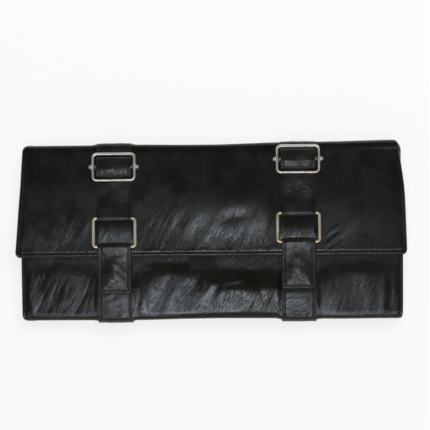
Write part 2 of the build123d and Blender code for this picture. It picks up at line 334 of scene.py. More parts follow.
def black_leather(name, deep, worn, roughness, grain, crinkle, lay, handled=None):
    """Black leather: pebble grain, fine creases, and cloudy wear between its deep and its worn tone.

    The pebbles are `grain` mm wide and the creases `crinkle` mm apart, at the angle `lay`. `handled` names
    the lengths along the hide from which it is creased, one each way from the back, and the half widths
    between which the creases grow fewer."""
    made, start, shader = new_finish(name)
    place = start.coordinates("UV")
    place = start.node("VectorMath", {"operation": "SCALE"}, {0: place, "Scale": 1000.0})
    turned = {"Vector": place, "Rotation": (0, 0, math.radians(lay)), "Scale": (5.0, 1.0, 1.0)}
    slanted = start.node("Mapping", {"vector_type": "TEXTURE"}, turned)
    clouds = start.noise_at(place, 0.05, 3.0, 0.55)
    pores = start.noise_at(place, 1.6)
    cells = {"Vector": place, "Scale": 1 / grain, "Smoothness": 0.6}
    pebble = start.node("TexVoronoi", {"feature": "SMOOTH_F1"}, cells)
    creased = start.noise_at(slanted, 1 / crinkle, distortion=0.12)
    fine = start.noise_at(slanted, 2.3 / crinkle, distortion=0.12)
    lines = 1 - start.maths("ABSOLUTE", creased - 0.5).clamped(0.0, 0.045)
    lines = (lines + 0.6 * fine.clamped(0.55, 0.62)) * clouds.clamped(0.36, 0.60)
    clouds.clamped(0.38, 0.7).mixed(deep, worn).into(shader, "Base Color")
    (roughness + 0.06 * clouds + 0.06 * lines + 0.05 * pores).into(shader, "Roughness")
    if handled:
        flap_from, front_from, many, few = handled
        length = place.part("Y")
        across = start.maths("ABSOLUTE", place.part("X"))
        on_flap = (0 - length).clamped(flap_from - 18, flap_from + 14)
        on_front = length.clamped(front_from - 8, front_from + 8)
        used = (on_flap + on_front) * (1 - 0.62 * across.clamped(many, few))
        relief = 0.20 * pebble + used * (0.18 * pebble - 0.90 * lines + 0.20 * creased)
    else:
        relief = 0.38 * pebble - 0.80 * lines + 0.20 * creased
    relief.bump(0.36, 0.00025).into(shader, "Normal")
    return made


case_finish = black_leather(
    "case_leather_black", (0.0042, 0.0038, 0.0029, 1), (0.0070, 0.0064, 0.0052, 1),
    roughness=0.22, grain=1.0, crinkle=2.2, lay=62, handled=(132, 88, 52, 92))

# The section of a turned side: out over the panel, round its edge and back under it. The points on it
# are closer together where it is rolled.
turned_line = rounded_line(
    (0, 0), (edge_round, 0, roll), (edge_round, -panel_depth, roll), (edge_round - turned_edge, -panel_depth))
rolled = np.linspace(0.3, 1.81, 5)
edge_steps = np.concatenate((
    [0.0, 0.35, 0.7, 1.05, 1.4, 1.85, 2.35], 2.35 + rolled, [4.75, 5.3], 5.3 + rolled, [8.1, 9.2]))


def stack_depth(s, strip_end):
    """How thick the turned side is: the full stack on a panel, and less on the fold strip."""
    on_strip = ease(s, fold_y - 5, fold_y + 2) * (1 - ease(s, strip_end - 2, strip_end + 5))
    return strip_depth + (panel_depth - strip_depth) * (1 - on_strip)


def turned_panel(name, hide, start, stop, free_end):
    """A length of a hide laid on its line, its sides (and far end, if free) turned under."""
    line, outward, half_at, relief, strip_end = hide
    spacing = 1.0 if free_end else 1.5
    inner = case_half - edge_round
    middle = np.linspace(-inner, inner, int(2 * inner / spacing))
    across = np.concatenate((-inner - edge_steps[:0:-1], middle, inner + edge_steps[1:]))
    flat_stop = stop - edge_round
    if free_end:
        body = np.linspace(start, flat_stop, int((flat_stop - start) / spacing))
        along = np.concatenate((body, flat_stop + edge_steps[1:]))
    else:
        along = np.linspace(start, stop, int((stop - start) / spacing))
    piece, a, s = grid(name, across, along)
    side = np.sign(a)
    to_edge = inner - np.abs(a)
    beyond_x = np.maximum(-to_edge, 0)
    beyond_s = np.zeros_like(s)
    base_s = s
    if free_end:
        to_edge = np.minimum(to_edge, flat_stop - s)
        beyond_s = np.maximum(s - flat_stop, 0)
        base_s = np.minimum(s, flat_stop)
    far = np.maximum(beyond_x, beyond_s)
    turn = np.where(
        beyond_x >= beyond_s,
        math.pi / 4 * beyond_s / np.maximum(beyond_x, 1e-9),
        math.pi / 2 - math.pi / 4 * beyond_x / np.maximum(beyond_s, 1e-9),
    )
    reach, drop = on_line(turned_line, far)
    reach = np.where((beyond_x > 0) & (beyond_s > 0), np.maximum(reach, 0.05), reach)
    base_x = np.clip(a, -inner, inner) * (half_at(base_s, side) - edge_round) / inner
    x = base_x + np.where(beyond_x > 0, reach * np.cos(turn) * side, 0)
    where = base_s + np.where(beyond_s > 0, reach * np.sin(turn), 0)
    edge = edge_round + np.where(far > 0, -far, to_edge)
    under = ease(far, 3.0, 4.5)
    rise = drop * stack_depth(where, strip_end) / panel_depth + (1 - under) * relief(x, where, edge)
    y, z = on_line(line, where, outward * rise)
    shape(piece, x, y, z, a, -outward * s)
    thicken(piece, leather, -1)
    dress(piece, case_finish)
    return piece


def fold_line(out, low, high, end, radius):
    """The line of a layer from the middle of the back, up at y = `out`, and in again to y = `end`.

    With it comes the length along it to the middle of the fold strip."""
    line = rounded_line((0, low), (out, low, radius), (out, high, radius), (end, high))
    return line, abs(out) + (high - low) / 2 - (2 - math.pi / 2) * radius


# The two lines that the hide follows, and the lengths at which the flap and the front start and end.
upper_line, top_middle = fold_line(fold_y, case_low, case_top, flap_edge, cover_round)
lower_line, bottom_middle = fold_line(-fold_y, case_low, front_top, front_edge, cover_round)
flap_start, front_start = 2 * top_middle - fold_y, 2 * bottom_middle - fold_y
flap_end, front_end = upper_line[0][-1], lower_line[0][-1]


def near_strap(x, reach, soft):
    """1 under the two straps, falling to 0 past them."""
    value = np.zeros_like(x)
    for strap_x in set_x.values():
        value = np.maximum(value, 1 - ease(np.abs(x - strap_x), reach, reach + soft))
    return value


def round_corner(s, corner_at, radius):
    """How far a side lies in from its full width near a fold, by the length past the fold."""
    past = np.clip((s - corner_at) / radius, 0, 1)
    return radius * (1 - np.sqrt(np.maximum(1 - (1 - past) ** 2, 0)))


def flap_side(s, side):
    """Half the width of the upper hide: the back, then the fold strip, then the flap."""
    y = fold_y - (s - flap_start)
    left = np.interp(
        y, [flap_edge, -14.4, 0, 19, 38.5, 58, 67, 72],
        [156.6, 156.4, 155.2, 153.8, 152.1, 150.9, 150.2, 150.0])
    right = np.interp(
        y, [flap_edge, -3, 16, 26, 35, 45, 54, 64, 72],
        [155.2, 154.8, 154.3, 154.0, 153.4, 152.2, 150.9, 149.5, 148.8])
    left = left - round_corner(s, flap_start - 2.2, 7.5)
    right = right - round_corner(s, flap_start - 2.2, 6.0) * 0.5
    lower = case_half - round_corner(fold_y - s, -2.2, 7.5) * np.where(side < 0, 1.0, 0.7)
    return np.where(s < top_middle, lower, np.where(side < 0, left, right))


def front_side(s, side):
    """Half the width of the lower hide: the back, then the fold strip, then the front."""
    upper = np.interp(s, [front_start, front_start + 12, front_end], [152.2, 152.6, 153.2])
    upper = upper - round_corner(s, front_start - 2.2, 8.0) * np.where(side < 0, 1.0, 0.5)
    lower = case_half - round_corner(fold_y - s, -2.2, 8.0) * np.where(side < 0, 1.0, 0.5)
    return np.where(s < bottom_middle, lower, upper)


# How far the fold strips' middles swell out (or sink, where negative) at places from left to right.
top_waves = (
    [-150, -91, -52, -23, 6, 35, 45, 102, 141, 152],
    [-1.3, -1.4, -1.1, -1.8, -1.9, -0.9, -0.4, 0.1, 1.1, 1.0])
bottom_waves = (
    [-150, -141, -53, -24, 5, 43, 101, 139, 152],
    [-1.2, -1.2, -0.9, -1.7, -2.1, -1.8, -0.7, -0.9, -1.0])


def strip_swell(x, s, waves, middle):
    """The swell of a fold strip, none under the straps or past the strip's ends."""
    share = np.sin(math.pi * np.clip((s - fold_y + 6) / (middle - fold_y + 6) / 2, 0, 1)) ** 0.8
    return np.interp(x, *waves) * (1 - near_strap(x, 12, 7)) * share


def sewn_edge(edge):
    """A groove where the stitches pull the leather down, and a low bead outside it."""
    return -0.30 * bump_at(edge, hide_seam, 0.5) + 0.07 * bump_at(edge, 1.3, 0.7)


def back_relief(x, s, edge):
    """The back's surface, a little full between the straps."""
    puff = 0.55 * ease(edge, 3, 14) * (1 - near_strap(x, 13, 9))
    soft = 0.25 * ripple(x, s, 20, 46, 17, 3.1) * ease(edge, 3, 10) * (1 - near_strap(x, 13, 6))
    return (1 - ease(np.abs(s), fold_y - 16, fold_y - 4)) * (puff + soft + sewn_edge(edge))


def upper_relief(x, s, edge):
    """The upper hide's surface over its line: the back, then the fold strip, then the flap."""
    on_flap = ease(s, flap_start - 1, flap_start + 10) * flap_relief(x, fold_y - (s - flap_start), edge)
    return back_relief(x, s, edge) + strip_swell(x, s, top_waves, top_middle) + on_flap


def lower_relief(x, s, edge):
    """The lower hide's surface over its line: the back, then the fold strip, then the front."""
    on_front = ease(s, front_start - 2, front_start + 8) * front_relief(x, (s - front_start) - fold_y, edge)
    return back_relief(x, -s, edge) + strip_swell(x, s, bottom_waves, bottom_middle) + on_front


def folds(x, y, table):
    """Soft folds, each a ridge (or a valley, where high is negative) through a middle point at an angle."""
    height = 0
    for middle_x, middle_y, angle, long, wide, high in table:
        c, t = math.cos(math.radians(angle)), math.sin(math.radians(angle))
        u, v = (x - middle_x) * c + (y - middle_y) * t, (y - middle_y) * c - (x - middle_x) * t
        height = height + high * np.exp(-((u / long) ** 2) - (v / wide) ** 2)
    return height


def level_along(x, places, heights, reach=7):
    """Heights between given places, with the corners smoothed over `reach` mm each way."""
    return sum(np.interp(x + shift * reach, places, heights) for shift in np.linspace(-1, 1, 9)) / 9


flap_folds = (
    # middle x, y, angle, half length, half width, height
    (19, 12, 14, 10, 4.6, -0.60), (1, 3, 58, 16, 5.0, 0.26), (33, 4, 62, 14, 5.0, 0.34),
    (13, -7, 60, 8, 3.2, -0.28), (24, -1, 60, 10, 3.0, -0.20), (43, 2, 68, 10, 3.0, 0.22),
    (-16, 6, 62, 14, 3.6, 0.22), (-27, 4, 64, 14, 3.0, -0.20), (-99, 8, 66, 10, 3.2, 0.24),
    (-112, 8, 62, 12, 3.0, 0.10), (-88, 12, 74, 8, 2.6, 0.16), (-126, 4, 60, 14, 5.0, 0.10),
    (97, 0, 40, 8, 1.7, 0.30), (96, -3, 40, 8, 1.5, -0.26), (96, -8, 40, 9, 1.7, 0.28),
    (97, -11, 38, 8, 1.5, -0.22), (114, 8, 42, 18, 8.0, 0.34), (128, 4, 62, 16, 6.0, -0.25),
)
front_folds = (
    (-50, -46, 66, 24, 5.5, 0.62), (-58, -44, 68, 18, 3.5, -0.30), (-38, -44, 62, 14, 3.2, -0.20),
    (-28, -46, 62, 20, 4.6, 0.24), (-13, -40, 58, 11, 4.2, -0.52), (-3, -46, 56, 14, 3.4, 0.22),
    (6, -52, 42, 18, 6.0, 0.28), (22, -38, 12, 8, 2.4, 0.40), (18, -42.5, 8, 11, 2.2, -0.42),
    (33, -45, 68, 8, 2.4, -0.40), (38, -45, 112, 8, 2.0, -0.32), (44, -52, 76, 11, 3.6, 0.20),
    (-145, -54, 96, 12, 3.6, 0.45), (-136, -52, 104, 14, 4.0, -0.24), (-116, -50, 78, 16, 6.0, 0.14),
    (-103, -50, 70, 16, 4.0, -0.10), (100, -48, 76, 16, 6.0, 0.22), (112, -50, 82, 16, 4.0, -0.14),
    (126, -50, 94, 16, 5.0, 0.16), (137, -54, 84, 15, 2.8, 0.32), (143, -53, 84, 14, 2.6, -0.26),
    (118, -34, 44, 14, 6.0, 0.16),
)


def crease_lines(x, y, angle, long, wide, seed):
    """Narrow valleys of the leather's own creases, from 0 to 1."""
    return np.exp(-((ripple(x, y, angle, long, wide, seed) / 0.12) ** 2))


def ring_window(x, y):
    """1 inside the rings, where no strap lies on the flap, and 0 elsewhere."""
    return sum(
        (1 - ease(np.abs(x - set_x[side]), 12, 17)) * (1 - ease(np.abs(y - ring_y), 7.5, 11))
        for side, ring_y in strap_ring_y.items())


def flap_relief(x, y, edge):
    """The flap's padded surface: crowned between the straps, falling to the sewn edge, finely creased."""
    crown = level_along(
        x, [-156, -130, -104, -94, -60, -50, -34, -18, 30, 48, 56, 84, 94, 122, 156],
        [0.2, 0.5, 0.6, 0.2, 0.2, 0.5, 0.9, 2.0, 2.45, 2.2, 0.2, 0.2, 0.8, 1.1, 0.2])
    crown = crown * np.where(y < 24, ease(y, -13, 24), 1 - ease(y, 24, 67) * 0.85) * ease(edge, 2.8, 9)
    window = ring_window(x, y)
    soft = np.maximum(1 - near_strap(x, 14.5, 10), window)
    low = 1 - ease(y, 0, 34)
    busy = np.clip(0.55 + 1.3 * ripple(x, y, 60, 40, 28, 8.8), 0.15, 1)
    creases = -0.15 * crease_lines(x, y, 62, 44, 5.0, 7.7) * busy + 0.08 * ripple(x, y, 63, 22, 3.2, 2.7)
    creases += 0.12 * ripple(x, y, 56, 40, 12, 1.3)
    creases *= (0.10 + 0.90 * low) * (1 - 0.6 * ease(np.abs(x), 56, 96))
    ticks = 0.15 * ripple(x, y, 78, 6, 2.2, 6.1) * bump_at(edge, 4.3, 1.3) * (y < -8)
    quiet = (0.10 + 0.90 * soft) * ease(edge, 2.8, 6)
    bulge = 0.85 * window * bump_at(y, 2.5, 9)
    return crown + bulge + (creases + folds(x, y, flap_folds) * soft) * quiet + ticks + sewn_edge(edge)


def front_swell(y, ridge):
    """The front panel's fullness: level under the flap, highest at `ridge`, and falling to the fold."""
    return ease(y, -70, ridge) * (1 - ease(y, ridge - 1, np.minimum(ridge + 17, -23)))


def front_relief(x, y, edge):
    """The front panel's surface: full below the flap between the straps, and finely creased."""
    crown = level_along(
        x, [-153, -138, -110, -94, -60, -50, -10, 30, 48, 84, 94, 122, 138, 153],
        [0.3, 0.5, 0.5, 0.9, 1.2, 1.1, 1.4, 3.3, 2.6, 1.3, 0.7, 0.7, 0.7, 0.3])
    ridge = level_along(
        x, [-153, -122, -100, -92, -62, -54, -44, -30, -14, 6, 30, 50, 60, 84, 110, 140],
        [-35, -32, -34, -46, -48, -40, -35, -33, -36, -44, -47, -45, -48, -46, -33, -35], 5)
    soft = 1 - near_strap(x, 14.5, 7)
    crown = crown * front_swell(y, ridge) * ease(edge, 1.5, 8)
    under_strap = near_strap(x, 14.0, 3)
    crown = crown * (1 - under_strap) + (strap_swell * front_swell(y, -49) - 0.08) * under_strap
    busy = np.clip(0.6 + 1.2 * ripple(x, y, 60, 36, 22, 3.6), 0.2, 1)
    creases = -0.15 * crease_lines(x, y, 64, 40, 5.6, 4.4) * busy + 0.07 * ripple(x, y, 66, 16, 2.8, 9.2)
    creases += 0.10 * ripple(x, y, 60, 34, 10, 5.1)
    quiet = (0.06 + 0.94 * soft) * ease(edge, 2.8, 6) * ease(y, -69, -60) * (1 - ease(y, -31, -22))
    return crown + (creases + folds(x, y, front_folds) * soft) * quiet + sewn_edge(edge)


# The two bodies that each bend joins, and where it starts and ends, in metres.
bends = {
    "top": ("back", "top_fold", (0, 0.064, 0), (0, 0.072, 0.008)),
    "flap": ("top_fold", "flap", (0, 0.072, 0.0171), (0, 0.064, 0.0251)),
    "bottom": ("back", "bottom_fold", (0, -0.064, 0), (0, -0.072, 0.008)),
    "front": ("bottom_fold", "front", (0, -0.072, 0.0131), (0, -0.064, 0.0211)),
}


def bend_over(piece, bend, layer=None):
    """Bakes a piece's place into its mesh. With a layer, it hides that layer's nodes of the two bodies that
    the bend joins.
    """
    first, second, start, end = bends[bend]
    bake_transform(piece)
    if layer:
        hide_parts(f"{first}_{layer}", f"{second}_{layer}")


# A hide's line, its outer side, half its width, its surface, and where its fold strip ends.
upper_hide = (upper_line, 1, flap_side, upper_relief, flap_start)
lower_hide = (lower_line, -1, front_side, lower_relief, front_start)
hide_lengths = (
    # name, hide, from, to, whether that end is free, bend
    ("back_upper", upper_hide, 0, top_middle, False, "top"),
    ("flap", upper_hide, top_middle, flap_end, True, "flap"),
    ("back_lower", lower_hide, 0, bottom_middle, False, "bottom"),
    ("front", lower_hide, bottom_middle, front_end, True, "front"),
)
for part, hide, start, stop, free_end, bend in hide_lengths:
    cover = turned_panel(f"cover_{part}", hide, start, stop, free_end)
    bend_over(cover, bend, "cover")


def flecked(name, texture, values, span, low, high, roughness, metallic=0.0, bump=None):
    """A finish that goes from one tone to another as a fine texture's value goes over a span."""
    made, start, shader = new_finish(name)
    place = start.coordinates("Object")
    flecks = start.node(texture, {}, {"Vector": place, **values})
    flecks.clamped(*span).mixed(low, high).into(shader, "Base Color")
    shader.inputs["Roughness"].default_value = roughness
    shader.inputs["Metallic"].default_value = metallic
    if bump:
        flecks.bump(*bump).into(shader, "Normal")
    return made


# One stitch of thick black thread, its ends drawn down into the leather. Every seam is made of copies.
thread_finish = flecked(
    "thread_black", "TexNoise", {"Scale": 2600.0, "Detail": 2.0}, (0.3, 0.7),
    (0.0035, 0.0034, 0.0034, 1), (0.012, 0.0115, 0.011, 1), roughness=0.5, bump=(0.5, 0.00008))

bpy.ops.object.select_all(action="DESELECT")
bpy.ops.mesh.primitive_uv_sphere_add(segments=6, ring_count=4, radius=0.001, rotation=(0, math.pi / 2, 0))
stitch = bpy.context.object
bpy.ops.object.transform_apply(location=False, rotation=True, scale=False)
stitch_spots = np.array([corner.co for corner in stitch.data.vertices]) * (0.92, 0.36, 0.30)
stitch_spots[np.abs(stitch_spots[:, 0]) > 0.0005, 2] -= 0.00018
stitch_mesh = stitch.data.copy()
bpy.data.objects.remove(stitch)


def sew(name, rows, pitch):
    """A seam: copies of the stitch along each row. A row is spot(t, rise) and the t of its two ends.

    `spot` gives where a row is at t, in millimetres, and `rise` lifts it off the leather."""
    seam = bmesh.new()
    spots = []
    for spot, start, stop in rows:
        t = np.linspace(start, stop, 300)
        steps = np.linalg.norm(np.diff(np.column_stack(spot(t, 0.0)), axis=0), axis=1)
        lengths = np.concatenate(([0.0], np.cumsum(steps)))
        count = max(int(lengths[-1] / pitch), 1)
        at = np.interp((np.arange(count) + 0.5) * lengths[-1] / count, lengths, t)
        middle = np.column_stack(spot(at, 0.0))
        ahead = np.column_stack(spot(at + (stop - start) / 300, 0.0)) - middle
        ahead /= np.linalg.norm(ahead, axis=1)[:, None]
        up = np.column_stack(spot(at, 1.0)) - middle
        side = np.cross(up, ahead)
        side /= np.linalg.norm(side, axis=1)[:, None]
        up = np.cross(ahead, side)
        for i in range(count):
            seam.from_mesh(stitch_mesh)
            spots.append(middle[i] / 1000 + stitch_spots @ np.array((ahead[i], side[i], up[i])))
    data = bpy.data.meshes.new(name)
    seam.to_mesh(data)
    seam.free()
    data.vertices.foreach_set("co", np.concatenate(spots).ravel())
    piece = bpy.data.objects.new(name, data)
    scene.collection.objects.link(piece)
    dress(piece, thread_finish, 60)
    return piece


def row_along(spot, offset, start, stop):
    """A row along a piece at an offset from its middle. `spot` takes the offset, the length and the rise."""
    return lambda t, rise: spot(np.full_like(t, offset), t, rise), start, stop


def row_across(spot, length, start, stop):
    """A row across a piece at a length along it."""
    return lambda t, rise: spot(t, np.full_like(t, length), rise), start, stop


def hide_rows(hide, start, stop, free_end):
    """The rows of stitches down both sides of a hide, and across its end if that is free."""
    line, outward, half_at, relief, _ = hide

    def spot(x, s, rise):
        return (x, *on_line(line, s, outward * (relief(x, s, np.full_like(s, hide_seam)) + 0.12 + rise)))

    def side_row(side):
        return lambda s, rise: spot(side * (half_at(s, np.full_like(s, side)) - hide_seam), s, rise)

    if not free_end:
        return [(side_row(side), start, stop) for side in (-1, 1)]
    stop = stop - hide_seam
    reach = half_at(np.array([stop]), np.array([1.0]))[0] - 4.0
    return [(side_row(side), start, stop) for side in (-1, 1)] + [row_across(spot, stop, -reach, reach)]


for part, hide, start, stop, free_end, bend in hide_lengths:
    rows = hide_rows(hide, max(start, 1.5), stop, free_end)
    bend_over(sew(f"stitches_{part}", rows, pitch=3.1), bend)


# Foam
# A thin sheet of foam lies in the flap, between the hide and the lining.
foam_finish = flecked(
    "foam_grey", "TexVoronoi", {"Scale": 1400.0}, (0.1, 0.7),
    (0.10, 0.10, 0.10, 1), (0.20, 0.20, 0.19, 1), roughness=0.95)
foam_half, foam_low, foam_high = 144, -13.5, 66.5
foam, foam_x, foam_y = grid(
    "foam_flap", np.linspace(-foam_half, foam_half, 97), np.linspace(foam_low, foam_high, 41))
foam_inset = np.minimum(foam_half - np.abs(foam_x), np.minimum(foam_y - foam_low, foam_high - foam_y))
foam_spread = 1 + 0.035 * (30 - foam_y) / 84
shape(foam, foam_x * foam_spread, foam_y, 22.0 + 0.45 * ease(foam_inset, 0, 9))
thicken(foam, 1.1, -1)
dress(foam, foam_finish)
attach(foam, "flap")
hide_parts("flap_padding")


# Lining
# Thin matt leather, glued over the boards and the foam. The hide's turned edge is sewn down over it.
lining_finish = black_leather(
    "lining_suede", (0.0200, 0.0178, 0.0155, 1), (0.0400, 0.0362, 0.0320, 1),
    roughness=0.60, grain=0.7, crinkle=2.4, lay=15)
lining_out, lining_round = 68.9, 2.2
back_lining_z, flap_lining_z, front_lining_z = 4.6, 20.2, 16.5
top_lining, top_at = fold_line(lining_out, back_lining_z, flap_lining_z, -15.2, lining_round)
bottom_lining, bottom_at = fold_line(-lining_out, back_lining_z, front_lining_z, -5.2, lining_round)
# A lining's line, outer side, half widths at lengths along it, and its fold strip's swell and middle.
upper_lining = (
    top_lining, 1, ([0, 60, 70, 84, 92, 168], [149.0, 149.0, 145.0, 145.0, 146.2, 152.0]), top_waves, top_at)
lower_lining = (
    bottom_lining, -1, ([0, 60, 70, 80, 88, 145], [149.0, 149.0, 146.6, 146.6, 148.6, 149.4]),
    bottom_waves, bottom_at)
lining_lengths = (
    # name, lining, from, to, bend
    ("back_upper", upper_lining, 0, top_at, "top"),
    ("flap", upper_lining, top_at, top_lining[0][-1], "flap"),
    ("back_lower", lower_lining, 0, bottom_at, "bottom"),
    ("front", lower_lining, bottom_at, bottom_lining[0][-1], "front"),
)
for part, (line, outward, halves, waves, middle), start, stop, bend in lining_lengths:
    lining, a, s = grid(f"lining_{part}", np.linspace(-1, 1, 121), steps_along(line, start, stop, 2.2, 9))
    half = np.interp(s, *halves)
    x = a * half
    sag = 0.10 * ripple(x, s, 25, 38, 14, 2.2) * ease(half - np.abs(x), 2, 8)
    inward = np.minimum(strip_swell(x, s, waves, middle), 0)
    y, z = on_line(line, s, outward * (0.35 + sag + 1.06 * inward))
    shape(lining, x, y, z, x, s)
    thicken(lining, 0.6, 0)
    dress(lining, lining_finish)
    bend_over(lining, bend, "lining")


# Boards
# Grey fibre board stiffens the back and the front panel. Only their ends could be seen, from inside.
def coat(node, finish):
    """Gives a piece of the frame its finish."""
    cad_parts[node].data.materials.clear()
    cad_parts[node].data.materials.append(finish)


board_finish = flecked(
    "board_grey", "TexNoise", {"Scale": 900.0, "Detail": 4.0}, (0.35, 0.65),
    (0.16, 0.15, 0.13, 1), (0.30, 0.28, 0.25, 1), roughness=0.9)
for board in ("back_board", "front_board"):
    coat(board, board_finish)


# Shears sleeves
# Thin leather sheets arched over the linings: three on the back for shears, one on the front panel and
# one on the flap. Each is sewn down along both sides and across one end, and is open at the other.
sleeve_closed, sleeve_mouth, sleeve_seam = -142.0, 66.0, 1.5
sleeves = (
    # name, node it stands for, body, middle, width, level of the lining, height, way up
    ("sleeve_back_1", "back_sleeve_1", "back", -42.0, 40.0, back_lining_z, 6.0, 1),
    ("sleeve_back_2", "back_sleeve_2", "back", 0.0, 40.0, back_lining_z, 6.0, 1),
    ("sleeve_back_3", "back_sleeve_3", "back", 42.0, 40.0, back_lining_z, 6.0, 1),
    ("sleeve_front", "front_sleeve", "front", -35.0, 52.0, front_lining_z, 5.6, -1),
    ("sleeve_flap", "flap_sleeve", "flap", 35.0, 56.0, flap_lining_z, 5.5, -1),
)


def sleeve_rise(x, y, width, height):
    """How high the sleeve's leather stands over the lining."""
    from_side = width / 2 - np.abs(y)
    arch = ease(from_side, 2.4, 8.5) * ease(x - sleeve_closed, 1.5, 11)
    crown = 0.72 + 0.28 * np.cos(np.clip(y / (width / 2), -1, 1) * math.pi / 2)
    slack = 1 - 0.10 * np.sin((x - sleeve_closed) / 33.0) ** 2 - 0.06 * bump_at(x, 20, 30)
    mouth_hem = 0.16 * ease(x, sleeve_mouth - 6.2, sleeve_mouth - 5.4)
    groove = 0.20 * (bump_at(from_side, sleeve_seam, 0.45) + bump_at(x, sleeve_closed + sleeve_seam, 0.5))
    return 0.62 + (height - 0.82) * arch * crown * slack + mouth_hem - groove


def make_sleeve(name, node, body, middle, width, base, height, up):
    """One sleeve and its stitches."""
    half = width / 2
    across = np.concatenate((
        np.linspace(-half, -half + 3, 11), np.linspace(-half + 3.6, half - 3.6, int(half * 1.5)),
        np.linspace(half - 3, half, 11)))
    along = np.concatenate((
        np.linspace(sleeve_closed, sleeve_closed + 3, 9),
        np.linspace(sleeve_closed + 4, sleeve_mouth - 8, 70),
        np.linspace(sleeve_mouth - 7, sleeve_mouth, 12)))
    sleeve, x, y = grid(name, along, across)
    bow = 0.8 * ease(x, sleeve_mouth - 12, sleeve_mouth) * (1 - (y / half) ** 2)
    shape(sleeve, x - bow, middle + y, base + up * sleeve_rise(x, y, width, height), x, y)
    thicken(sleeve, 0.6, -up)
    dress(sleeve, lining_finish)
    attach(sleeve, body)
    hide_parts(node)

    def spot(y, x, rise):
        return x, middle + y, base + up * (sleeve_rise(x, y, width, height) + 0.05 + rise)

    side_at, end_at = half - sleeve_seam, sleeve_closed + sleeve_seam
    rows = [row_along(spot, at, end_at, sleeve_mouth - 1.0) for at in (-side_at, side_at)]
    rows.append(row_across(spot, end_at, -side_at, side_at))
    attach(sew(f"stitches_{name}", rows, pitch=3.4), body)


for sleeve_row in sleeves:
    make_sleeve(*sleeve_row)


# Straps
# Two straps of thick leather run round the case. Each is sewn to the hide over the back and both
# folds, ends on the front panel as a closing strap, and at the top goes on free over the flap, through
# the slider, round the ring and back to the slider's bar.
strap_finish = black_leather(
    "strap_leather_black", (0.0055, 0.0050, 0.0043, 1), (0.0120, 0.0112, 0.0100, 1),
    roughness=0.27, grain=0.9, crinkle=3.0, lay=20)
# Sizes in millimetres. The places and levels are of the middle of the leather's thickness: past the
# folds, under the case, on the flap and on the front, at the closing end, and round a ring's bar.
strap_thick, strap_width, strap_seam = 1.2, 27.6, 2.3
edge_insets = [0, 0.1, 0.3, 0.6, 1.0, 1.5, 1.9, 2.3, 2.7, 3.2]
strap_out, strap_round = 71.4, 4.4
under_z, flap_strap_z, front_strap_z = 0.6, 24.5, 20.5
closing_end = -19.6
ring_bar, bar_wrap = 11.375, 1.805
strap_slider_y = {"left": 52.7, "right": 57.6}
strap_seed = {"left": 3.0, "right": 8.0}


def strap_face(inset):
    """How far a strap's top face stands over its own middle plane, by the distance from its edge."""
    edge = np.interp(inset, [0, 0.1, 0.3, 0.6, 1.0], [-0.45, -0.2, -0.05, 0.0, 0.03])
    bead = 0.08 * bump_at(inset, 1.2, 0.4) + 0.16 * ease(inset, 2.8, 9)
    return edge - 0.28 * bump_at(inset, strap_seam, 0.45) + bead


def level(s):
    """The lift of a strap that lies flat."""
    return 0.0


def strap_length(name, line, lengths, middle_x, width, creases, lift=level, corner=0.0):
    """A closed band of leather along a line, its edges rounded, with a sewing groove along each side.

    `creases` moves its face and `lift` all of it. With a `corner` radius its far end is free and sewn."""
    half = width / 2
    insets = [*edge_insets, *np.linspace(4.0, half - 0.8, 11)]
    face = np.array([inset - half for inset in insets] + [0.0] + [half - inset for inset in insets[::-1]])
    back = np.array([half, half - 0.15, half - 0.5, half / 2, 0, -half / 2, 0.5 - half, 0.15 - half, -half])
    back_rise = -strap_thick / 2 + np.array([0.45, 0.12, 0, 0, 0, 0, 0, 0.12, 0.75])
    section_x = np.concatenate((face, back))
    if corner:
        ends = lengths[-1] - np.array(edge_insets[::-1])
        lengths = np.concatenate((lengths[lengths < ends[0] - 0.3], ends))
    piece, place, s = grid(name, np.arange(len(section_x)), lengths)
    place = place.astype(int)
    offset, on_face = section_x[place], place < len(face)
    inset = half - np.abs(offset)
    if corner:
        to_end = lengths[-1] - s
        inset = np.minimum(inset, to_end)
        past = np.maximum(corner - to_end, 0)
        offset = offset * (half - corner + np.sqrt(np.maximum(corner**2 - past**2, 0))) / half
    back_share = np.concatenate((np.zeros(len(face)), back_rise))[place]
    rise = np.where(on_face, strap_thick / 2 + strap_face(inset) + creases(offset, s), back_share) + lift(s)
    y, z = on_line(line, s, rise)
    shape(piece, middle_x + offset, y, z, offset, s)
    turn_outwards(piece, fill=True)
    dress(piece, strap_finish, 50)
    return piece


def strap_spots(line, middle_x, sunk, lift=level):
    """The `spot` of a strap's rows of stitches, their thread sunk below its face."""
    def spot(offset, s, rise):
        return (middle_x + offset, *on_line(line, s, strap_thick / 2 - sunk + rise + lift(s)))
    return spot


under_line, strap_top_middle = fold_line(strap_out, under_z, flap_strap_z, 0, strap_round)
closing_line, strap_bottom_middle = fold_line(-strap_out, under_z, front_strap_z, closing_end, strap_round)
closing_line = (*closing_line[:3], -closing_line[3], -closing_line[4])  # its normals point outwards too


def closing_lift(s):
    """The closing strap follows the front panel's fullness."""
    y = closing_end - (closing_line[0][-1] - s)
    return strap_swell * front_swell(y, -49) * (s > strap_bottom_middle + 6)


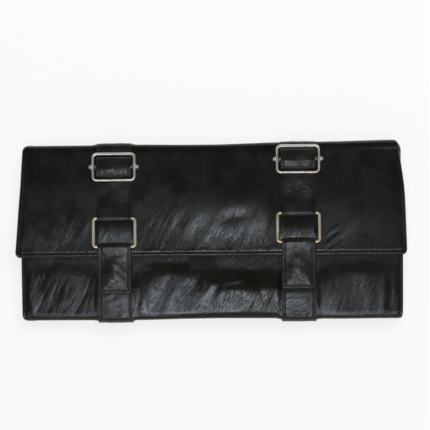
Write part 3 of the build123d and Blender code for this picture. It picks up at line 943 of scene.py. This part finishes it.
def upper_strap_line(side):
    """From the middle of the top fold over the flap, through the slider, round the ring and back."""
    ring_y, slider_y = strap_ring_y[side], strap_slider_y[side]
    bar_y = ring_y + ring_bar
    return rounded_line(
        (strap_out, (under_z + flap_strap_z) / 2), (strap_out, flap_strap_z, strap_round),
        (slider_y + 9.3, flap_strap_z, 1.5), (slider_y + 6.6, 29.5, 2.6), (slider_y - 1.0, 30.65, 9.0),
        (slider_y - 6.4, 29.6, 2.4), (slider_y - 9.0, 25.8, 1.6), (bar_y + 15, 26.1, 50),
        (bar_y + 0.6, 28.38, 3.0), (bar_y - bar_wrap, 28.1, 1.7), (bar_y - bar_wrap, flap_strap_z, 1.75),
        (slider_y - 7.45, flap_strap_z, 2.4), (slider_y - 2.78, 26.025, 2.4), (slider_y + 1.58, 26.025, 1.53),
        (slider_y + 1.58, 29.185, 1.53), (slider_y - 1.2, 29.185),
    )


def make_strap(side, middle_x):
    """The five lengths of one strap, each with its two rows of stitches."""
    seed = strap_seed[side]
    run = upper_strap_line(side)
    hinge_at = (flap_strap_z - under_z) / 2 - strap_round + strap_round * math.pi / 4
    # The leather is bunched where it comes out below the slider, on its way down to the ring.
    going_down = int(len(run[0]) * 0.55)
    past_slider = np.interp(4.6 - strap_slider_y[side], -run[1][:going_down], run[0][:going_down])

    def creases(offset, s):
        fine = 0.09 * ripple(offset, s, 12, 16, 3.2, seed) + 0.08 * ripple(offset, s, -20, 9, 5.5, seed + 2)
        lines = -0.13 * crease_lines(offset, s, 14, 24, 6.5, seed + 5)
        return (fine + lines) * ease(strap_width / 2 - np.abs(offset), 2.6, 5)

    def crumpled(offset, s):
        bunched = 0.42 * ripple(offset, s, 78, 5, 2.4, seed + 1) * bump_at(s, past_slider, 2.8)
        return creases(offset, s) + bunched * ease(strap_width / 2 - np.abs(offset), 1.5, 4)

    bends[f"strap_{side}"] = ("flap", f"strap_{side}", (0, 0.0701, 0.0232), (0, 0.064, 0.0245))
    lengths = (
        # name, line, from, to, creases, lift, bend, nodes it stands for
        ("back_upper", under_line, 0, strap_top_middle, creases, level, "top", ("back_strap", "top_strap")),
        ("back_lower", closing_line, 0, strap_bottom_middle, creases, level, "bottom",
         ("back_strap", "bottom_strap")),
        ("closing", closing_line, strap_bottom_middle, closing_line[0][-1], creases, closing_lift, "front",
         ("bottom_strap", "closing_strap")),
        ("fold", run, 0, hinge_at + 0.3, creases, level, "flap", ("top_strap",)),
        ("upper", run, hinge_at, run[0][-1], crumpled, level, f"strap_{side}", ("upper_strap",)),
    )
    for part, line, start, stop, marks, lift, bend, nodes in lengths:
        steps = steps_along(line, start, stop, 1.2, 9)
        piece = strap_length(f"strap_{part}_{side}", line, steps, middle_x, strap_width, marks, lift)
        bend_over(piece, bend)
        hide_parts(*(f"{node}_{side}" for node in nodes))
        sewn_to = hinge_at + 66 if part == "upper" else stop
        spot = strap_spots(line, middle_x, sunk=0.20, lift=lift)
        seam_at = strap_width / 2 - strap_seam
        rows = [row_along(spot, at, start + 0.5, sewn_to - 0.5) for at in (-seam_at, seam_at)]
        bend_over(sew(f"stitches_strap_{part}_{side}", rows, pitch=2.8), bend)


for side, middle_x in set_x.items():
    make_strap(side, middle_x)


# Tabs
# A strip of strap leather folded round the ring's lower bar and sewn to itself in a box. The stud of
# the magnetic snap is between its two layers, and makes the box stand proud.
tab_width, tab_reach = 26.5, 48.5


def tab_line(side):
    """From the end of the lower layer round the ring's bar to the end of the upper layer."""
    ring_y = strap_ring_y[side]
    bar_y, end_y = ring_y - ring_bar, ring_y - tab_reach
    return rounded_line(
        (end_y, flap_strap_z), (bar_y - 2, flap_strap_z, 6), (bar_y + bar_wrap, flap_strap_z, 1.75),
        (bar_y + bar_wrap, 28.11, 1.75), (bar_y - 0.8, 28.2, 2.2), (bar_y - 14, 26.1, 40), (end_y, 25.6),
    )


def make_tab(side, middle_x):
    """One tab, and the box of stitches that closes it."""
    run = tab_line(side)
    total = run[0][-1]
    box_start, box_end = total - tab_reach + ring_bar + 6.2, total - strap_seam

    def creases(offset, s):
        """The tab is full over the stud, pinched in along the box, and dimpled at its lower end."""
        from_side = tab_width / 2 - np.abs(offset)
        pinched = -np.logaddexp(strap_seam - from_side, s - box_end)
        puff = ease(pinched, -0.2, 11) * ease(s, box_start + 0.3, box_start + 9)
        row = bump_at(s, box_start, 0.6) * ease(from_side, 1.2, 2.4)
        dimple = np.exp(-((offset / 4.0) ** 2 + ((s - total + 9.5) / 1.6) ** 2))
        wrinkles = 0.14 * ripple(offset, s, 10, 9, 3.6, 5.5) + 0.14 * ripple(offset, s, 62, 8, 2.8, 2.5)
        return 1.2 * puff - 0.24 * row - 0.28 * dimple + wrinkles * ease(from_side, 2.4, 5)

    steps = steps_along(run, 0, total, 1.0, 8)
    tab = strap_length(f"tab_strap_{side}", run, steps, middle_x, tab_width, creases, corner=3.0)
    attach(tab, f"tab_{side}")
    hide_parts(f"tab_{side}")
    spot = strap_spots(run, middle_x, sunk=0.18)
    seam_at = tab_width / 2 - strap_seam
    rows = [row_along(spot, at, box_start, box_end) for at in (-seam_at, seam_at)]
    rows += [row_across(spot, at, -seam_at, seam_at) for at in (box_start, box_end)]
    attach(sew(f"stitches_tab_{side}", rows, pitch=2.6), f"tab_{side}")


for side, middle_x in set_x.items():
    make_tab(side, middle_x)


# Woven tag
# A folded strip of close-woven ribbon, its ends sewn into the flap's hem. It is left blank.
tag_finish, ribbon, tag_shader = new_finish("tag_ribbon")
tag_place = ribbon.coordinates("UV")
warp = ribbon.maths("SINE", tag_place.part("X") * 14000.0)
weft = ribbon.maths("SINE", tag_place.part("Y") * 11000.0)
weave = warp * weft
tag_tones = weave.clamped(-0.6, 0.8).mixed((0.0035, 0.0042, 0.0060, 1), (0.0090, 0.0108, 0.0145, 1))
tag_tones.into(tag_shader, "Base Color")
weave.bump(0.6, 0.0001).into(tag_shader, "Normal")
tag_shader.inputs["Roughness"].default_value = 0.75
tag_half, tag_low, tag_high = 10.4, -29.8, -15.8
tag_loop = rounded_line((tag_high, 20.34), (tag_low, 20.85, 0.26), (tag_low, 21.43, 0.26), (tag_high, 20.66))
tag_steps = steps_along(tag_loop, 0, tag_loop[0][-1], 0.5, 20)
tag, tag_x, tag_s = grid("woven_tag_blank", np.linspace(-tag_half, tag_half, 43), tag_steps)
tag_wave = 0.10 * np.sin(tag_x / 4.1 + 0.6) + 0.06 * np.sin(tag_x / 1.7)
tag_y, tag_z = on_line(tag_loop, tag_s)
shape(tag, tag_x - 6.8, tag_y, tag_z + tag_wave * ease(-tag_y, -flap_edge, 29), tag_x, tag_s)
thicken(tag, 0.22, 0)
dress(tag, tag_finish)
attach(tag, "flap")
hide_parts("woven_tag")


# Wire hardware and snaps
# Sliders and rings are bent from round nickel-plated wire, and the snap's cap and stud are pressed
# from thin nickel-plated steel. The plating is worn softly bright, with fine lines of rubbing. On the
# rings its brass-coloured patches are partly worn plating and partly a painted warm reflection.
def plated(name, wear_and_sheen_tone, bright):
    """Plated wire: its bright plating, and a second tone in cloudy patches: worn plating, and on the rings
    also a painted warm reflection.
    """
    made, plate, shader = new_finish(name)
    place = plate.coordinates("Object")
    clouds = plate.noise_at(place, 90.0, 3.0)
    scratches = plate.noise_at(place, 1500.0, 3.0, 0.7)
    clouds.clamped(0.38, 0.62).mixed(wear_and_sheen_tone, bright).into(shader, "Base Color")
    (0.26 + 0.14 * clouds + 0.10 * scratches).into(shader, "Roughness")
    shader.inputs["Metallic"].default_value = 1.0
    scratches.bump(0.25, 0.00005).into(shader, "Normal")
    return made


nickel = plated("nickel_rubbed", (0.86, 0.80, 0.72, 1), (0.96, 0.95, 0.93, 1))
# The rings' brass tone is partly worn plating and partly a painted warm reflection.
ring_plate = plated("nickel_wear_and_painted_warm_sheen", (0.93, 0.77, 0.51, 1), (0.97, 0.91, 0.79, 1))
magnet_finish = flecked(
    "magnet_dark", "TexNoise", {"Scale": 2500.0, "Detail": 2.0}, (0.3, 0.7),
    (0.03, 0.03, 0.032, 1), (0.07, 0.07, 0.075, 1), roughness=0.5, metallic=0.8)
for side in set_x:
    for node in (f"slider_frame_{side}", f"slider_bar_{side}", f"snap_stud_{side}", f"snap_socket_{side}"):
        coat(node, nickel)
    coat(f"ring_{side}", ring_plate)
    coat(f"snap_magnet_{side}", magnet_finish)
